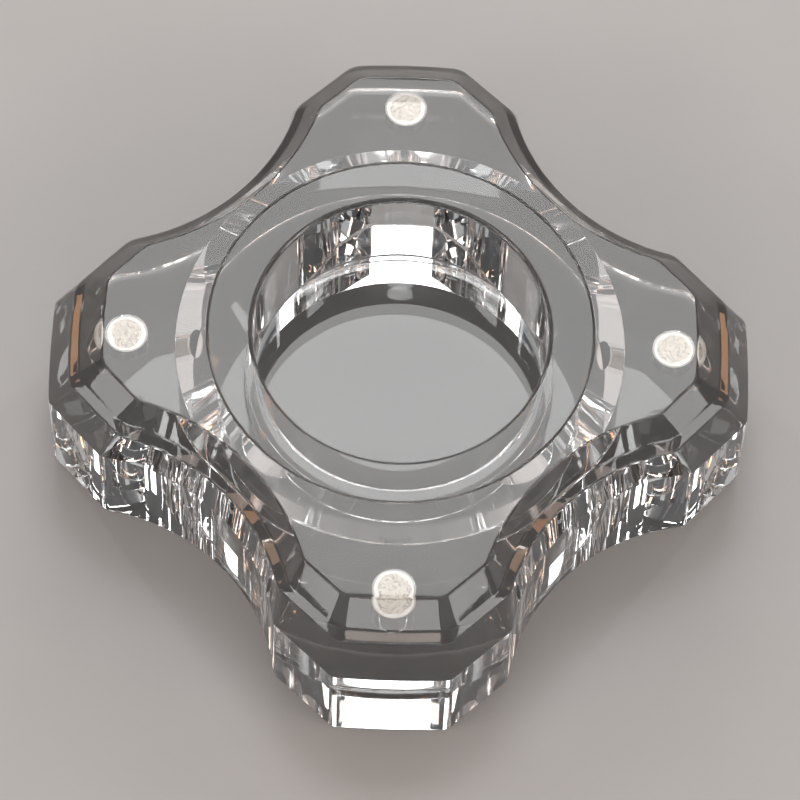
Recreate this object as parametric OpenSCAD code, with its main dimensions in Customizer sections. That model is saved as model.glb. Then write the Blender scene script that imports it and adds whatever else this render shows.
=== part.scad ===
/* [Block] */
// Width across opposite arm ends
span = 106; // [102:0.5:110]
// Width of the flat end of each arm
end_w = 16.8; // [15:0.1:18.5]
// Distance from the centre to the corner where an arm meets its hollow
shoulder_x = 44.4; // [43:0.1:45.5]
// Distance of that corner from the arm's own centre line
shoulder_y = 17.6; // [16.8:0.1:18.4]
// Radius of the hollows between the arms
hollow_r = 31.7; // [31:0.1:33]
// Thickness of the straight-sided base block
base_h = 18.2; // [16.6:0.1:19]
// Thickness of the bevelled top plate
plate_h = 10.4; // [9.8:0.1:12]

/* [Stepped bevel of the top plate] */
// Height of the steep bevel below the ledge
steep_h = 5.6; // [5:0.1:6]
// Width of the steep bevel on the arm ends
steep_end = 3.3; // [2.6:0.1:3.8]
// Width of the steep bevel on the slanting sides of the arms
steep_side = 2.6; // [2:0.1:3]
// Width of the steep bevel round the hollows
steep_hollow = 1.2; // [0.8:0.1:1.8]
// Rise of the ledge from its outer to its inner edge
ledge_rise = 1.1; // [0.6:0.1:1.4]
// Width of the ledge on the arm ends
ledge_end = 1.5; // [1:0.1:1.8]
// Width of the ledge on the slanting sides of the arms
ledge_side = 1.1; // [0.8:0.1:1.6]
// Width of the ledge round the hollows
ledge_hollow = 1.6; // [1:0.1:1.8]
// Width of the whole bevel on the arm ends
bevel_end = 8.4; // [7.2:0.1:9]
// Width of the whole bevel on the slanting sides of the arms
bevel_side = 7.1; // [6:0.1:7.6]
// Width of the whole bevel round the hollows
bevel_hollow = 5.4; // [4.2:0.1:5.8]

/* [Centre cup] */
// Radius of the cup below its shoulder
cup_r = 33.8; // [32:0.1:34.4]
// Radius of the cup's flat top
cup_top_r = 29; // [27.5:0.1:30]
// Height of the cup's conical shoulder
shoulder_h = 6.9; // [5:0.1:9]
// Clearance between the cup and its hole in the block
fit_gap = 0.1; // [0.05:0.05:0.2]
// Radius of the seat in the top of the cup
seat_r = 22.2; // [20:0.1:24]
// Depth of the seat
seat_depth = 16.2; // [10:0.1:17.4]
// Chamfer round the mouth of the seat
seat_chamfer = 0.5; // [0.2:0.1:1]
// Radius of the relief under the cup
relief_r = 23.5; // [20:0.1:26]
// Depth of the relief
relief_depth = 9.6; // [3:0.1:9.8]

/* [Magnets] */
// Magnet diameter
magnet_d = 6.35; // [5:0.05:7]
// Magnet thickness
magnet_h = 3.2; // [2:0.1:3.6]
// Rounding of the magnet's plated edges
magnet_round = 0.25; // [0.1:0.05:0.4]
// Distance of each magnet from the centre
magnet_at = 41.2; // [40.2:0.1:42]
// Height of each magnet's top face above the table
magnet_top = 22.4; // [22.2:0.1:22.8]
// Thickness of the glue film on top of each magnet
glue_t = 0.1; // [0.05:0.05:0.2]
// Radius of that glue film
glue_r = 2.8; // [2:0.1:3]
// Radial clearance between a magnet and its pocket
pocket_gap = 0.05; // [0.05:0.05:0.15]

/* [Hidden] */

$fn = 180;
over = 1;               // how far a cutting shape runs past the surface it cuts
top_z = base_h + plate_h;
cup_shoulder_z = top_z - shoulder_h;
seat_z = top_z - seat_depth;
half_span = span / 2;
half_end = end_w / 2;

// Turn about +Z of the arm that holds each magnet, from the +X arm
FRONT = -90;
RIGHT = 0;
BACK = 90;
LEFT = 180;

// Every hollow's circle passes through the corners of its two arms,
// so its centre lies this far along X and along Y
corner_mid = (shoulder_x + shoulder_y) / 2;
corner_half = (shoulder_x - shoulder_y) / 2;
hollow_at = corner_mid + sqrt(hollow_r * hollow_r / 2 - corner_half * corner_half);

// Direction that a slanting arm side faces, and its distance from the centre
side_angle = atan2(half_span - shoulder_x, shoulder_y - half_end);
side_at = half_span * cos(side_angle) + half_end * sin(side_angle);

// Stepped bevel as [inset, height] points from the plate's foot to its top:
// a steep slope, a narrow ledge and an easier slope. lift raises the ledge a
// touch, so that the ledges of neighbouring walls never meet in one point.
function bevel(steep_w, ledge_w, whole_w, lift) =
    [[0, base_h],
     [steep_w, base_h + steep_h + lift],
     [steep_w + ledge_w, base_h + steep_h + ledge_rise + lift],
     [whole_w, top_z]];
side_lift = 0.03;
hollow_lift = 0.06;

// Point on the line from b through a, further on than a by the height over
function run_on(a, b) = a + (a - b) * over / abs(a[1] - b[1]);

// Straight bar along Y whose two long sides follow the given edge profile,
// set in from walls that stand wall_at from the bar's middle
module bar(wall_at, edge) {
    right = [for (p = edge) [wall_at - p[0], p[1]]];
    left = [for (i = [len(edge) - 1:-1:0]) [edge[i][0] - wall_at, edge[i][1]]];
    rotate([90, 0, 0]) linear_extrude(1.4 * span, center = true) polygon(concat(right, left));
}

// Round post that fills a hollow and widens upwards as its edge profile does
module hollow_post(edge) {
    last = len(edge) - 1;
    foot = run_on(edge[0], edge[1]);
    head = run_on(edge[last], edge[last - 1]);
    side = [for (p = concat([foot], edge, [head])) [hollow_r + p[0], p[1]]];
    translate([hollow_at, hollow_at])
        rotate_extrude() polygon(concat([[0, foot[1]]], side, [[0, head[1]]]));
}

// One layer of the block: the meeting of six bars, one for each pair of
// opposite walls, less the four hollows and the hole for the cup
module layer(end_edge, side_edge, hollow_edge) {
    difference() {
        intersection() {
            bar(half_span, end_edge);
            rotate(90) bar(half_span, end_edge);
            rotate(side_angle) bar(side_at, side_edge);
            rotate(-side_angle) bar(side_at, side_edge);
            rotate(90 + side_angle) bar(side_at, side_edge);
            rotate(90 - side_angle) bar(side_at, side_edge);
        }
        for (k = [0:3]) rotate(90 * k) hollow_post(hollow_edge);
        cup_hole();
    }
}

// Hole in the block that takes the cup: straight, then narrowing to the top
// and on past it
module cup_hole() {
    hole_r = cup_r + fit_gap;
    lean = (cup_r - cup_top_r) / shoulder_h;
    rotate_extrude()
        polygon([[0, -over], [hole_r, -over], [hole_r, cup_shoulder_z],
                 [hole_r - lean * (shoulder_h + over), top_z + over], [0, top_z + over]]);
}

// Straight-sided lower part of the block
module base_block() {
    upright = [[0, 0], [0, base_h]];
    color([0.90, 0.92, 0.93, 0.35]) layer(upright, upright, upright);
}

// Bevelled upper part of the block, with a magnet pocket under each arm
module top_plate() {
    pocket_h = magnet_top + glue_t - base_h;
    color([0.93, 0.94, 0.95, 0.35])
        difference() {
            layer(bevel(steep_end, ledge_end, bevel_end, 0),
                  bevel(steep_side, ledge_side, bevel_side, side_lift),
                  bevel(steep_hollow, ledge_hollow, bevel_hollow, hollow_lift));
            for (k = [0:3])
                rotate(90 * k)
                    translate([magnet_at, 0, base_h - over])
                        cylinder(h = pocket_h + over, r = magnet_d / 2 + pocket_gap);
        }
}

// Round cup with a conical shoulder, a seat in its top and a relief below
module centre_cup() {
    color([0.88, 0.90, 0.91, 0.35])
        rotate_extrude()
            polygon([[relief_r, 0], [cup_r, 0], [cup_r, cup_shoulder_z],
                     [cup_top_r, top_z], [seat_r + seat_chamfer, top_z],
                     [seat_r, top_z - seat_chamfer], [seat_r, seat_z], [0, seat_z],
                     [0, relief_depth], [relief_r, relief_depth]]);
}

// Plated disc magnet in the arm at the given turn
module magnet(turn) {
    r = magnet_d / 2;
    color([0.86, 0.84, 0.80])
        rotate(turn)
            translate([magnet_at, 0, magnet_top - magnet_h])
                rotate_extrude()
                    polygon([[0, 0], [r - magnet_round, 0], [r, magnet_round],
                             [r, magnet_h - magnet_round], [r - magnet_round, magnet_h],
                             [0, magnet_h]]);
}

// Film of clear glue between that magnet and the roof of its pocket
module glue(turn) {
    color([0.92, 0.90, 0.86, 0.5])
        rotate(turn)
            translate([magnet_at, 0, magnet_top]) cylinder(h = glue_t, r = glue_r);
}

base_block();
top_plate();
centre_cup();
magnet(FRONT);  // front_magnet
magnet(RIGHT);  // right_magnet
magnet(BACK);  // back_magnet
magnet(LEFT);  // left_magnet
glue(FRONT);  // front_glue
glue(RIGHT);  // right_glue
glue(BACK);  // back_glue
glue(LEFT);  // left_glue
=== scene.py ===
"""Looks for a clear four-armed acrylic holder with a round seat and four sealed magnets.

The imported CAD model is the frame. The three acrylic solids and the glue films are rebuilt here as
finer meshes with polished, slightly rounded edges, in the same places; the magnets stay as packed.
"""

import math
import random

import bpy
from mathutils import Matrix, Vector
from mathutils.geometry import tessellate_polygon


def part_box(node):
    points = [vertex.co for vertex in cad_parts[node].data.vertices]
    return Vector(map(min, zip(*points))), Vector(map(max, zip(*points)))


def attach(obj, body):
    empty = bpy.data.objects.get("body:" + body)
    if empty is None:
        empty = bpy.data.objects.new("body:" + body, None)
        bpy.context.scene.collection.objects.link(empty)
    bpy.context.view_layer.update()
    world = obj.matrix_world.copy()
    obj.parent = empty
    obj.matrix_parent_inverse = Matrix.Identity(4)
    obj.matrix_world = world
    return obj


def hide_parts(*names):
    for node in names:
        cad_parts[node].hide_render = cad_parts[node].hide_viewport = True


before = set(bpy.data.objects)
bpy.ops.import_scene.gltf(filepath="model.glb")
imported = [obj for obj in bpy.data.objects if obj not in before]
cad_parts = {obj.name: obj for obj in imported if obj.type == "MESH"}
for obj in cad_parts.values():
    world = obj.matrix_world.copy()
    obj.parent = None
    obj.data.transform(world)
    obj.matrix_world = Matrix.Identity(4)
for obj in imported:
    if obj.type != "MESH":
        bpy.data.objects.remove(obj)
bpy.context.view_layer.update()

MM = 0.001

# ---------------------------------------------------------------- sizes, in mm
# Taken from the frame's boxes
BLOCK_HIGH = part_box("base_block")[1]
PLATE_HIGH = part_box("top_plate")[1]
CUP_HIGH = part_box("centre_cup")[1]
HALF_SPAN = BLOCK_HIGH.x / MM
JOINT_Z = BLOCK_HIGH.z / MM
TOP_Z = PLATE_HIGH.z / MM
CUP_R = CUP_HIGH.x / MM

# Plan of the block: half the width of an arm's end, the corner where an arm meets its hollow,
# the hollow's radius and how far the middle of an end stands out from its corners
HALF_END = 8.4
SHOULDER = (44.4, 17.6)
HOLLOW_R = 31.7
END_BULGE = 0.22
# Direction that a slanting side faces, from its own arm, in radians
SIDE_FACING = math.atan2(HALF_SPAN - SHOULDER[0], SHOULDER[1] - HALF_END)

# Stepped bevel: insets on the arm ends, on the slanting sides and round the hollows,
# and the radius that the corners of the plan have there
STEEP_H = 5.6
LEDGE_RISE = 1.1
WALL = (0.0, 0.0, 0.0)
WALL_CORNER = 2.0
STEEP = (3.3, 2.6, 1.2)
STEEP_CORNER = 4.0
LEDGE = (4.8, 3.7, 2.8)
LEDGE_CORNER = 5.0
WHOLE = (8.4, 7.1, 5.4)
WHOLE_CORNER = 3.0
LEDGE_FOOT_Z = JOINT_Z + STEEP_H
LEDGE_HEAD_Z = LEDGE_FOOT_Z + LEDGE_RISE

# Cup and its hole
FIT_GAP = 0.1
CUP_TOP_R = 29.0
SHOULDER_H = 6.9
SEAT_R = 22.2
SEAT_DEPTH = 16.2
SEAT_CHAMFER = 0.5
RELIEF_R = 23.5
RELIEF_DEPTH = 9.6

# Magnet pockets: radius, height of the roof and distance from the centre
POCKET_R = 3.225
POCKET_ROOF = 22.5
MAGNET_AT = 41.2

# Uneven edge of a glue smear: the largest dip, as a share of the radius
GLUE_DIP = 0.28

# Polished edges: how far each bend reaches, at most this share of the line beside it
EDGE_ROUND = 0.45
RIM_ROUND = 0.25
FOOT_ROUND = 0.6
BEND_SHARE = 0.45
# How far a profile runs on over a flat face, so that its last bend has a line to start from
PLATE_RUN_ON = 1.0
CUP_RUN_ON = 2.0

# Fineness of the meshes, and the smallest doubled area that a cap's triangle may have
SLIVER = 1e-9
BEND_STEPS = 4
ARC_STEPS = 96
CORNER_STEPS = 10
BULGE_STEPS = 12
CIRCLE_STEPS = 288
POCKET_STEPS = 96
GLUE_STEPS = 120
# Edges bent by more than this stay sharp, and large faces win when normals are averaged
SHARP_DEGREES = 24
FLATNESS = 90

# Material numbers on the block: its polished outside, its bonded joint, the walls inside it
OUTSIDE = 0
BONDED = 1
INNER = 2
# and on the cup, the wall that stands against the block
CUP_INNER = 1

# Turn of each arm about +Z, in degrees from the +X arm
ARMS = {"right": 0, "back": 90, "left": 180, "front": 270}

# ---------------------------------------------------------------- camera and studio
SENSOR_WIDTH_MM = 36
LENS_MM = 191.4
# Where the camera looks and from how far, in metres, and its angles in radians
TARGET = Vector((0.000365, 0.002453, 0.0014))
ELEVATION = 1.0801
AZIMUTH = -0.0145
ROLL = 0.0415
DISTANCE = 0.66185
FORWARD = Vector((-math.sin(AZIMUTH) * math.cos(ELEVATION),
                  math.cos(AZIMUTH) * math.cos(ELEVATION), -math.sin(ELEVATION)))
CAMERA_AT = TARGET - FORWARD * DISTANCE

# Floor and lights, in metres; the lights round a hollow stand a fixed turn apart
FLOOR_HALF = 3.0
FLOOR_DROP = 0.0002
LIGHTS_AIM_AT = Vector((0, 0, 0.015))
MIRROR_REACH = 0.8
HOLLOW_LIGHT_STEPS = (-2, -1, 0, 1, 2)
HOLLOW_LIGHT_DEGREES = 17


# ---------------------------------------------------------------- geometry
def turned(points, degrees):
    """The same points turned about +Z."""
    c = math.cos(math.radians(degrees))
    s = math.sin(math.radians(degrees))
    return [(x * c - y * s, x * s + y * c) for x, y in points]


def arc(centre, radius, start, end, steps):
    """Points on an arc, from the start angle to the end angle, both included."""
    return [(centre[0] + radius * math.cos(start + (end - start) * i / steps),
             centre[1] + radius * math.sin(start + (end - start) * i / steps))
            for i in range(steps + 1)]


def circle(radius, at=(0.0, 0.0), steps=CIRCLE_STEPS):
    """Points round a full circle."""
    return arc(at, radius, 0.0, 2 * math.pi, steps)[:-1]


def hollow_centre():
    """Distance along X and along Y of a hollow's centre, from the corners its circle passes through."""
    mid = (SHOULDER[0] + SHOULDER[1]) / 2
    half = (SHOULDER[0] - SHOULDER[1]) / 2
    return mid + math.sqrt(HOLLOW_R ** 2 / 2 - half ** 2)


def plan(inset_end, inset_side, inset_hollow, corner):
    """Plan of the block with each kind of wall set in by its own amount and corners of one radius."""
    facing = SIDE_FACING
    side_at = HALF_SPAN * math.cos(facing) + HALF_END * math.sin(facing)
    flat_x = HALF_SPAN - inset_end - END_BULGE
    end_x = flat_x - corner
    side_d = side_at - inset_side - corner
    post_r = HOLLOW_R + inset_hollow
    normal = Vector((math.cos(facing), math.sin(facing)))
    along = Vector((-math.sin(facing), math.cos(facing)))
    post = Vector((hollow_centre(), hollow_centre()))

    end_corner = (end_x, (side_d - end_x * normal.x) / normal.y)
    reach = math.sqrt((post_r + corner) ** 2 - (side_d - post.dot(normal)) ** 2)
    hollow_corner = normal * side_d + along * (post.dot(along) - reach)
    to_post = post - hollow_corner
    meets = math.atan2(to_post.y, to_post.x)

    half_arm = (arc(end_corner, corner, 0.0, facing, CORNER_STEPS)
                + arc(hollow_corner, corner, facing, meets, CORNER_STEPS))
    mirrored = [(x, -y) for x, y in reversed(half_arm)]
    half_flat = end_corner[1]
    shares = [2 * i / BULGE_STEPS - 1 for i in range(1, BULGE_STEPS)]
    bulge = [(flat_x + END_BULGE * (1 - t ** 2), half_flat * t) for t in shares]
    bay = arc(post, post_r, meets + math.pi, math.pi * 1.5 - meets, ARC_STEPS)[1:-1]
    quarter = mirrored + bulge + half_arm + bay
    return [p for k in range(4) for p in turned(quarter, 90 * k)]


def bent(points, size):
    """A profile with each inner point replaced by a short smooth bend that starts and ends size away."""
    out = [points[0]]
    for before, here, after in zip(points, points[1:], points[2:]):
        a, b, c = Vector(before), Vector(here), Vector(after)
        start = b + (a - b).normalized() * min(size, (a - b).length * BEND_SHARE)
        end = b + (c - b).normalized() * min(size, (c - b).length * BEND_SHARE)
        for i in range(BEND_STEPS + 1):
            t = i / BEND_STEPS
            out.append(tuple(start * (1 - t) ** 2 + b * 2 * t * (1 - t) + end * t ** 2))
    out.append(points[-1])
    return out


class Solid:
    """Collects vertices and faces, with a material number for each face."""

    def __init__(self):
        self.points = []
        self.faces = []
        self.material = []

    def ring(self, points, z):
        """Adds a closed ring of points at one height and returns their numbers."""
        first = len(self.points)
        self.points += [(x, y, z) for x, y in points]
        return list(range(first, first + len(points)))

    def wall(self, low, high, inward=False, material=OUTSIDE):
        """Quads between two rings of the same length."""
        n = len(low)
        for i in range(n):
            j = (i + 1) % n
            face = (low[i], low[j], high[j], high[i])
            self.faces.append(face[::-1] if inward else face)
            self.material.append(material)

    def stack(self, rings, inward=False, material=OUTSIDE):
        """Walls between each ring and the next."""
        for low, high in zip(rings, rings[1:]):
            self.wall(low, high, inward, material)

    def cap(self, outer, holes=(), up=True, material=OUTSIDE):
        """Flat triangles between an outer ring and any holes in it."""
        loops = [outer] + list(holes)
        numbers = [i for loop in loops for i in loop]
        flat = [[Vector((self.points[i][0], self.points[i][1], 0)) for i in loop] for loop in loops]
        for tri in tessellate_polygon(flat):
            a, b, c = (Vector(self.points[numbers[i]]) for i in tri)
            area = (b - a).cross(c - a).z
            if abs(area) < SLIVER:
                continue
            face = tuple(numbers[i] for i in tri)
            self.faces.append(face if (area > 0) == up else face[::-1])
            self.material.append(material)

    def build(self, name, materials):
        """The finished object, in metres."""
        mesh = bpy.data.meshes.new(name)
        mesh.from_pydata([(x * MM, y * MM, z * MM) for x, y, z in self.points], [], self.faces)
        mesh.polygons.foreach_set("material_index", self.material)
        mesh.polygons.foreach_set("use_smooth", [True] * len(self.faces))
        for m in materials:
            mesh.materials.append(m)
        mesh.validate()
        mesh.set_sharp_from_angle(angle=math.radians(SHARP_DEGREES))
        obj = bpy.data.objects.new(name, mesh)
        bpy.context.scene.collection.objects.link(obj)
        flat = obj.modifiers.new("flat_faces_stay_flat", "WEIGHTED_NORMAL")
        flat.mode = "FACE_AREA"
        flat.weight = FLATNESS
        flat.keep_sharp = True
        return obj


def pocket_circles(solid, z):
    """One ring for each magnet pocket, at height z."""
    return [solid.ring(circle(POCKET_R, turned([(MAGNET_AT, 0)], turn)[0], POCKET_STEPS), z)
            for turn in ARMS.values()]


def hole_wall_r(z):
    """Radius of the block's hole for the cup at height z."""
    lean = (CUP_R - CUP_TOP_R) / SHOULDER_H
    return CUP_R + FIT_GAP - lean * max(0.0, z - (TOP_Z - SHOULDER_H))


def make_base_block(materials):
    """Lower part of the block: straight walls with a softly rounded foot."""
    s = Solid()
    foot = bent([(FOOT_ROUND * 3, 0.0), (0.0, 0.0), (0.0, FOOT_ROUND * 3)], FOOT_ROUND)[1:-1]
    rings = [s.ring(plan(i, i, i, WALL_CORNER), z) for i, z in foot]
    rings.append(s.ring(plan(*WALL, WALL_CORNER), JOINT_Z))
    s.stack(rings)
    hole_low = s.ring(circle(hole_wall_r(0)), 0.0)
    hole_high = s.ring(circle(hole_wall_r(0)), JOINT_Z)
    s.wall(hole_low, hole_high, inward=True, material=INNER)
    s.cap(rings[0], [hole_low], up=False)
    pockets = pocket_circles(s, JOINT_Z)
    s.cap(rings[-1], [hole_high] + pockets, up=True, material=BONDED)
    # Floors of the pockets: bare acrylic, since nothing is bonded there
    for pocket in pockets:
        s.cap(pocket, up=True)
    return s.build("clear_base_block", materials)


def make_top_plate(materials):
    """Upper part of the block: stepped bevel, flat top, hole for the cup, pockets below."""
    s = Solid()
    flat_top = [inset + PLATE_RUN_ON for inset in WHOLE]
    steps = [(*WALL, WALL_CORNER, JOINT_Z),
             (*STEEP, STEEP_CORNER, LEDGE_FOOT_Z),
             (*LEDGE, LEDGE_CORNER, LEDGE_HEAD_Z),
             (*WHOLE, WHOLE_CORNER, TOP_Z),
             (*flat_top, WHOLE_CORNER, TOP_Z)]
    edge = bent(steps, EDGE_ROUND)[:-1]
    rings = [s.ring(plan(*row[:4]), row[4]) for row in edge]
    s.stack(rings)

    shoulder_z = TOP_Z - SHOULDER_H
    hole = [(hole_wall_r(JOINT_Z), JOINT_Z), (hole_wall_r(shoulder_z), shoulder_z),
            (hole_wall_r(TOP_Z), TOP_Z), (hole_wall_r(TOP_Z) + PLATE_RUN_ON, TOP_Z)]
    hole = bent(hole, RIM_ROUND)[:-1]
    hole_rings = [s.ring(circle(r), z) for r, z in hole]
    s.stack(hole_rings, inward=True, material=INNER)
    s.cap(rings[-1], [hole_rings[-1]], up=True)

    low = pocket_circles(s, JOINT_Z)
    high = pocket_circles(s, POCKET_ROOF)
    for a, b in zip(low, high):
        s.wall(a, b, inward=True, material=INNER)
        s.cap(b, up=False, material=INNER)
    s.cap(rings[0], [hole_rings[0]] + low, up=False, material=BONDED)
    return s.build("clear_top_plate", materials)


def make_centre_cup(materials):
    """Turned cup: conical shoulder outside, deep seat on top, relief below."""
    s = Solid()
    shoulder_z = TOP_Z - SHOULDER_H
    seat_z = TOP_Z - SEAT_DEPTH
    seat_mouth_r = SEAT_R + SEAT_CHAMFER
    outer = bent([(RELIEF_R + CUP_RUN_ON, 0.0), (CUP_R, 0.0), (CUP_R, shoulder_z), (CUP_TOP_R, TOP_Z),
                  (CUP_TOP_R - CUP_RUN_ON, TOP_Z)], RIM_ROUND)[1:-1]
    seat = bent([(seat_mouth_r + CUP_RUN_ON, TOP_Z), (seat_mouth_r, TOP_Z),
                 (SEAT_R, TOP_Z - SEAT_CHAMFER), (SEAT_R, seat_z), (SEAT_R - CUP_RUN_ON, seat_z)],
                RIM_ROUND)[1:-1]
    relief = bent([(RELIEF_R - CUP_RUN_ON, RELIEF_DEPTH), (RELIEF_R, RELIEF_DEPTH), (RELIEF_R, 0.0),
                   (RELIEF_R + CUP_RUN_ON, 0.0)], RIM_ROUND)[1:-1]
    outer_rings = [s.ring(circle(r), z) for r, z in outer]
    seat_rings = [s.ring(circle(r), z) for r, z in seat]
    relief_rings = [s.ring(circle(r), z) for r, z in relief]
    s.stack(outer_rings, material=CUP_INNER)
    s.wall(outer_rings[-1], seat_rings[0])
    s.stack(seat_rings)
    s.cap(seat_rings[-1], up=True)
    s.cap(relief_rings[0], up=False)
    s.stack(relief_rings)
    s.wall(relief_rings[-1], outer_rings[0])
    return s.build("clear_centre_cup", materials)


# ---------------------------------------------------------------- materials
ACRYLIC_IOR = 1.49


def new_material(name):
    """An empty node material, its node tree and its output node."""
    m = bpy.data.materials.new(name)
    m.use_nodes = True
    tree = m.node_tree
    tree.nodes.clear()
    out = tree.nodes.new("ShaderNodeOutputMaterial")
    return m, tree, out


def noise(tree, scale, detail=4.0, stretch=(1, 1, 1)):
    """A noise texture in object space; scale is in features per metre."""
    coords = tree.nodes.new("ShaderNodeTexCoord")
    mapping = tree.nodes.new("ShaderNodeMapping")
    mapping.inputs["Scale"].default_value = stretch
    texture = tree.nodes.new("ShaderNodeTexNoise")
    texture.inputs["Scale"].default_value = scale
    texture.inputs["Detail"].default_value = detail
    tree.links.new(coords.outputs["Object"], mapping.inputs["Vector"])
    tree.links.new(mapping.outputs["Vector"], texture.inputs["Vector"])
    return texture.outputs["Fac"]


def remap(tree, value, low, high, to_low, to_high):
    """The value carried from one range to another, clamped."""
    node = tree.nodes.new("ShaderNodeMapRange")
    for name, number in (("From Min", low), ("From Max", high), ("To Min", to_low), ("To Max", to_high)):
        node.inputs[name].default_value = number
    tree.links.new(value, node.inputs["Value"])
    return node.outputs["Result"]


def let_light_through(tree, out, shader, share):
    """The shader as the surface, except that shadow rays pass and keep the given share of light."""
    open_air = tree.nodes.new("ShaderNodeBsdfTransparent")
    open_air.inputs["Color"].default_value = (*share, 1)
    path = tree.nodes.new("ShaderNodeLightPath")
    mix = tree.nodes.new("ShaderNodeMixShader")
    tree.links.new(path.outputs["Is Shadow Ray"], mix.inputs["Fac"])
    tree.links.new(shader, mix.inputs[1])
    tree.links.new(open_air.outputs["BSDF"], mix.inputs[2])
    tree.links.new(mix.outputs["Shader"], out.inputs["Surface"])


def acrylic(name, tint, smooth, rough, clear_shadow):
    """Clear acrylic with faint haze and polishing marks; shadow rays pass and keep a share of light."""
    m, tree, out = new_material(name)
    body = tree.nodes.new("ShaderNodeBsdfPrincipled")
    body.inputs["Base Color"].default_value = (*tint, 1)
    body.inputs["IOR"].default_value = ACRYLIC_IOR
    body.inputs["Transmission Weight"].default_value = 1.0
    haze = remap(tree, noise(tree, 140.0, 6.0), 0.45, 0.75, smooth, rough)
    tree.links.new(haze, body.inputs["Roughness"])
    marks = noise(tree, 900.0, 2.0, (1.0, 7.0, 1.0))
    bump = tree.nodes.new("ShaderNodeBump")
    bump.inputs["Strength"].default_value = 0.02
    bump.inputs["Distance"].default_value = 0.00002
    tree.links.new(marks, bump.inputs["Height"])
    tree.links.new(bump.outputs["Normal"], body.inputs["Normal"])
    let_light_through(tree, out, body.outputs["BSDF"], [c * clear_shadow for c in tint])
    return m


def bonded_joint():
    """Solvent-bonded faces inside the block: they don't show, so light passes straight through."""
    m, tree, out = new_material("bonded_joint")
    through = tree.nodes.new("ShaderNodeBsdfTransparent")
    through.inputs["Color"].default_value = (1, 1, 1, 1)
    tree.links.new(through.outputs["BSDF"], out.inputs["Surface"])
    return m


def nickel_plate():
    """Bright nickel plate, satin and a little mottled."""
    m, tree, out = new_material("nickel_plate")
    body = tree.nodes.new("ShaderNodeBsdfPrincipled")
    body.inputs["Metallic"].default_value = 0.5
    ramp = tree.nodes.new("ShaderNodeValToRGB")
    ramp.color_ramp.elements[0].position = 0.35
    ramp.color_ramp.elements[0].color = (0.84, 0.79, 0.72, 1)
    ramp.color_ramp.elements[1].position = 0.65
    ramp.color_ramp.elements[1].color = (0.95, 0.92, 0.87, 1)
    tree.links.new(noise(tree, 1400.0, 5.0), ramp.inputs["Fac"])
    tree.links.new(ramp.outputs["Color"], body.inputs["Base Color"])
    tree.links.new(remap(tree, noise(tree, 2600.0, 3.0), 0.3, 0.7, 0.38, 0.55), body.inputs["Roughness"])
    tree.links.new(body.outputs["BSDF"], out.inputs["Surface"])
    return m


def cured_glue():
    """Cured clear glue: nearly see-through, with irregular milky rings where it dried."""
    m, tree, out = new_material("cured_glue")
    body = tree.nodes.new("ShaderNodeBsdfDiffuse")
    body.inputs["Color"].default_value = (0.86, 0.80, 0.72, 1)
    clear = tree.nodes.new("ShaderNodeBsdfTransparent")
    clear.inputs["Color"].default_value = (0.97, 0.95, 0.92, 1)
    rings = tree.nodes.new("ShaderNodeMath")
    rings.operation = "PINGPONG"
    rings.inputs[1].default_value = 0.06
    tree.links.new(noise(tree, 420.0, 3.0), rings.inputs[0])
    mix = tree.nodes.new("ShaderNodeMixShader")
    tree.links.new(remap(tree, rings.outputs["Value"], 0.045, 0.06, 0.08, 0.45), mix.inputs["Fac"])
    tree.links.new(clear.outputs["BSDF"], mix.inputs[1])
    tree.links.new(body.outputs["BSDF"], mix.inputs[2])
    let_light_through(tree, out, mix.outputs["Shader"], (0.97, 0.97, 0.97))
    return m


def floor_material():
    """Plain pale matt floor with a faint mottling."""
    m, tree, out = new_material("pale_floor")
    body = tree.nodes.new("ShaderNodeBsdfPrincipled")
    body.inputs["Roughness"].default_value = 0.85
    ramp = tree.nodes.new("ShaderNodeValToRGB")
    ramp.color_ramp.elements[0].color = (0.74, 0.74, 0.735, 1)
    ramp.color_ramp.elements[1].color = (0.78, 0.78, 0.775, 1)
    tree.links.new(noise(tree, 60.0, 3.0), ramp.inputs["Fac"])
    tree.links.new(ramp.outputs["Color"], body.inputs["Base Color"])
    tree.links.new(body.outputs["BSDF"], out.inputs["Surface"])
    return m


# ---------------------------------------------------------------- pieces
CLEAR = acrylic("clear_acrylic", (0.985, 0.985, 0.985), smooth=0.0, rough=0.006, clear_shadow=0.42)
CUP_CLEAR = acrylic("clear_cup_acrylic", (0.98, 0.982, 0.985), smooth=0.0, rough=0.006, clear_shadow=0.5)
INSIDE = acrylic("inner_acrylic", (0.985, 0.985, 0.985), smooth=0.0, rough=0.004, clear_shadow=0.97)
BOND = bonded_joint()
NICKEL = nickel_plate()
GLUE = cured_glue()


def stand_for(piece, node):
    """Lets a finer piece take the place of a CAD node."""
    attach(piece, "root")
    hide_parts(node)


stand_for(make_base_block([CLEAR, BOND, INSIDE]), "base_block")
stand_for(make_top_plate([CLEAR, BOND, INSIDE]), "top_plate")
stand_for(make_centre_cup([CUP_CLEAR, INSIDE]), "centre_cup")


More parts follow.
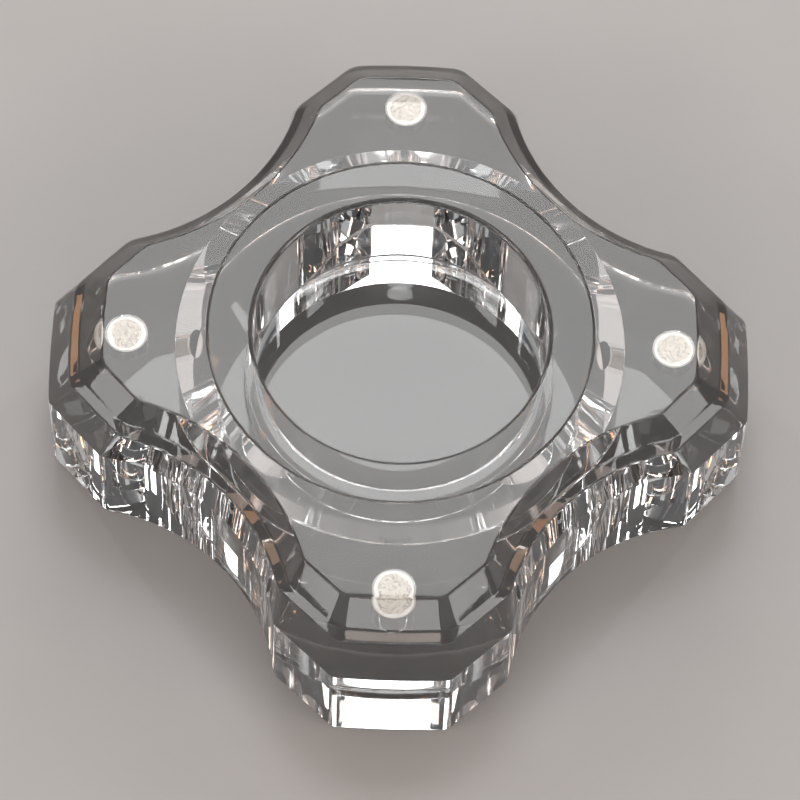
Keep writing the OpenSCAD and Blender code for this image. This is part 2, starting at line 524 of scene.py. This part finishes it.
def glue_smear(arm):
    """Uneven film of glue on one magnet's top face, inside the CAD film's box."""
    low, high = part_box(arm + "_glue")
    middle = (low + high) / 2
    radius = (high.x - low.x) / 2 / MM
    thick = (high.z - low.z) / MM
    rng = random.Random(arm)
    waves = [(k, rng.uniform(0, 2 * math.pi), rng.uniform(0.3, 1.0) / k) for k in range(2, 9)]
    total = sum(size for k, phase, size in waves)

    def edge(share):
        points = []
        for i in range(GLUE_STEPS):
            a = 2 * math.pi * i / GLUE_STEPS
            dip = sum(size * (1 + math.cos(k * a + phase)) / 2 for k, phase, size in waves) / total
            r = radius * share * (1 - GLUE_DIP * dip)
            points.append((middle.x / MM + r * math.cos(a), middle.y / MM + r * math.sin(a)))
        return points

    # Widest a little above the magnet, and drawn in towards the top: shares of radius and thickness
    layers = [(0.97, 0.2), (1.0, 0.4), (0.99, 0.7), (0.9, 0.85)]
    s = Solid()
    rings = [s.ring(edge(share), low.z / MM + height * thick) for share, height in layers]
    s.stack(rings)
    s.cap(rings[0], up=False)
    s.cap(rings[-1], up=True)
    return s.build(arm + "_glue_smear", [GLUE])


for arm in ARMS:
    stand_for(glue_smear(arm), arm + "_glue")
    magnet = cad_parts[arm + "_magnet"]
    magnet.data.materials.clear()
    magnet.data.materials.append(NICKEL)


# ---------------------------------------------------------------- studio
def make_floor():
    """Large pale sheet, a hair below the block so that the two never coincide."""
    corners = [(x * FLOOR_HALF, y * FLOOR_HALF, 0) for x, y in ((-1, -1), (1, -1), (1, 1), (-1, 1))]
    mesh = bpy.data.meshes.new("studio_floor")
    mesh.from_pydata(corners, [], [(0, 1, 2, 3)])
    floor = bpy.data.objects.new("studio_floor", mesh)
    floor.location.z = -FLOOR_DROP
    mesh.materials.append(floor_material())
    bpy.context.scene.collection.objects.link(floor)


def softbox(name, place, size, power, colour=(1, 1, 1)):
    """A rectangular soft light aimed at the middle of the block."""
    light = bpy.data.lights.new(name, "AREA")
    light.shape = "RECTANGLE"
    light.size, light.size_y = size
    light.energy = power
    light.color = colour
    obj = bpy.data.objects.new(name, light)
    obj.location = place
    obj.rotation_euler = (LIGHTS_AIM_AT - Vector(place)).to_track_quat("-Z", "Y").to_euler()
    bpy.context.scene.collection.objects.link(obj)


def band(inner, outer, low_z, high_z):
    """Middle of a sloping band round the block: its insets, its height and how far it leans back."""
    insets = [(a + b) / 2 for a, b in zip(inner, outer)]
    tilt = math.atan2(high_z - low_z, inner[0] - outer[0])
    return insets, (low_z + high_z) / 2, tilt


def mirror_light(name, at, turn, tilt, size, colour, glow):
    """A soft light standing where the wall at one spot mirrors it to the camera.

    The wall faces along turn and leans back by tilt, both in radians; at is in mm.
    """
    facing = Vector((math.cos(turn) * math.sin(tilt), math.sin(turn) * math.sin(tilt), math.cos(tilt)))
    spot = Vector(at) * MM
    away = (spot - CAMERA_AT).normalized().reflect(facing)
    power = glow * math.pi * size[0] * size[1]
    softbox(name, tuple(spot + away * MIRROR_REACH), size, power, colour)


def light_arms(name, insets, z, tilt, glow, size, colour):
    """Mirrored lights for one sloping band on the ends and slanting sides of three arms."""
    end_x = HALF_SPAN - insets[0]
    side = Vector(((HALF_SPAN + SHOULDER[0]) / 2, (HALF_END + SHOULDER[1]) / 2))
    side -= Vector((math.cos(SIDE_FACING), math.sin(SIDE_FACING))) * insets[1]
    for arm in ("front", "left", "right"):
        turn = math.radians(ARMS[arm])
        x, y = turned([(end_x, 0)], ARMS[arm])[0]
        mirror_light("%s_%s" % (name, arm), (x, y, z), turn, tilt, size, colour(turn), glow)
        for sign in (-1, 1):
            x, y = turned([(side.x, sign * side.y)], ARMS[arm])[0]
            mirror_light("%s_%s_side_%d" % (name, arm, sign), (x, y, z), turn + sign * SIDE_FACING, tilt,
                         size, colour(turn), glow)


def light_hollows(name, insets, z, tilt, glow, size, colour):
    """Mirrored lights for one sloping band round the two front hollows."""
    reach = HOLLOW_R + insets[2]
    for sign in (-1, 1):
        middle = (sign * hollow_centre(), -hollow_centre())
        for step in HOLLOW_LIGHT_STEPS:
            turn = math.radians(-90 + sign * 45 + HOLLOW_LIGHT_DEGREES * step)
            at = (middle[0] - reach * math.cos(turn), middle[1] - reach * math.sin(turn), z)
            mirror_light("%s_hollow_%d_%d" % (name, sign, step), at, turn, tilt, size, colour(turn), glow)


def pinkish(turn):
    """Warm white, turning orange towards the sides."""
    side = abs(math.cos(turn)) ** 3
    return (1.0, 0.84 - 0.34 * side, 0.76 - 0.52 * side)


def neutral(turn):
    """Slightly warm white."""
    return (1.0, 0.98, 0.97)


def make_lights():
    """Soft light from above and behind, and lights that the front bevels mirror to the camera."""
    softbox("overhead_softbox", place=(0.0, -0.1, 1.3), size=(0.9, 0.9), power=1.0)
    softbox("high_back_softbox", place=(0.0, 0.60, 1.12), size=(0.5, 0.4), power=3.0)
    softbox("back_softbox", place=(0.02, 0.55, 0.36), size=(0.30, 0.08), power=0.5)
    softbox("back_left_strip", place=(-0.42, 0.50, 0.30), size=(0.03, 0.36), power=0.45)
    softbox("back_right_strip", place=(0.42, 0.50, 0.30), size=(0.03, 0.36), power=0.45)
    ledge_band = band(LEDGE, STEEP, LEDGE_FOOT_Z, LEDGE_HEAD_Z)
    bevel_band = band(WHOLE, LEDGE, LEDGE_HEAD_Z, TOP_Z)
    light_arms("ledge", *ledge_band, glow=5.0, size=(0.20, 0.045), colour=pinkish)
    light_hollows("ledge", *ledge_band, glow=4.0, size=(0.22, 0.045), colour=pinkish)
    light_arms("bevel", *bevel_band, glow=5.0, size=(0.26, 0.09), colour=neutral)


def make_world():
    """Dim, even surroundings, a little lighter overhead."""
    world = bpy.data.worlds.new("studio")
    world.use_nodes = True
    tree = world.node_tree
    coords = tree.nodes.new("ShaderNodeTexCoord")
    split = tree.nodes.new("ShaderNodeSeparateXYZ")
    ramp = tree.nodes.new("ShaderNodeValToRGB")
    ramp.color_ramp.elements[0].color = (0.012, 0.011, 0.010, 1)
    ramp.color_ramp.elements[1].color = (0.16, 0.165, 0.17, 1)
    tree.links.new(coords.outputs["Generated"], split.inputs["Vector"])
    tree.links.new(split.outputs["Z"], ramp.inputs["Fac"])
    tree.links.new(ramp.outputs["Color"], tree.nodes["Background"].inputs["Color"])
    tree.nodes["Background"].inputs["Strength"].default_value = 0.7
    bpy.context.scene.world = world


def make_camera():
    """Long lens, looking steeply down at the front arm."""
    right = Vector((math.cos(AZIMUTH), math.sin(AZIMUTH), 0))
    up = right.cross(FORWARD)
    x_axis = right * math.cos(ROLL) + up * math.sin(ROLL)
    y_axis = up * math.cos(ROLL) - right * math.sin(ROLL)
    data = bpy.data.cameras.new("camera")
    data.sensor_width = SENSOR_WIDTH_MM
    data.lens = LENS_MM
    camera = bpy.data.objects.new("camera", data)
    bpy.context.scene.collection.objects.link(camera)
    camera.matrix_world = Matrix(((x_axis.x, y_axis.x, -FORWARD.x, CAMERA_AT.x),
                                  (x_axis.y, y_axis.y, -FORWARD.y, CAMERA_AT.y),
                                  (x_axis.z, y_axis.z, -FORWARD.z, CAMERA_AT.z),
                                  (0, 0, 0, 1)))
    bpy.context.scene.camera = camera


def set_light_paths():
    """Enough bounces for light to cross the block. let_light_through stands in for caustics."""
    cycles = bpy.context.scene.cycles
    cycles.max_bounces = 14
    cycles.transmission_bounces = 14
    cycles.glossy_bounces = 10
    cycles.diffuse_bounces = 2
    cycles.transparent_max_bounces = 24
    cycles.caustics_reflective = False
    cycles.caustics_refractive = False
    cycles.use_denoising = True
    bpy.context.scene.view_settings.view_transform = "Standard"


make_floor()
make_world()
make_lights()
make_camera()
set_light_paths()
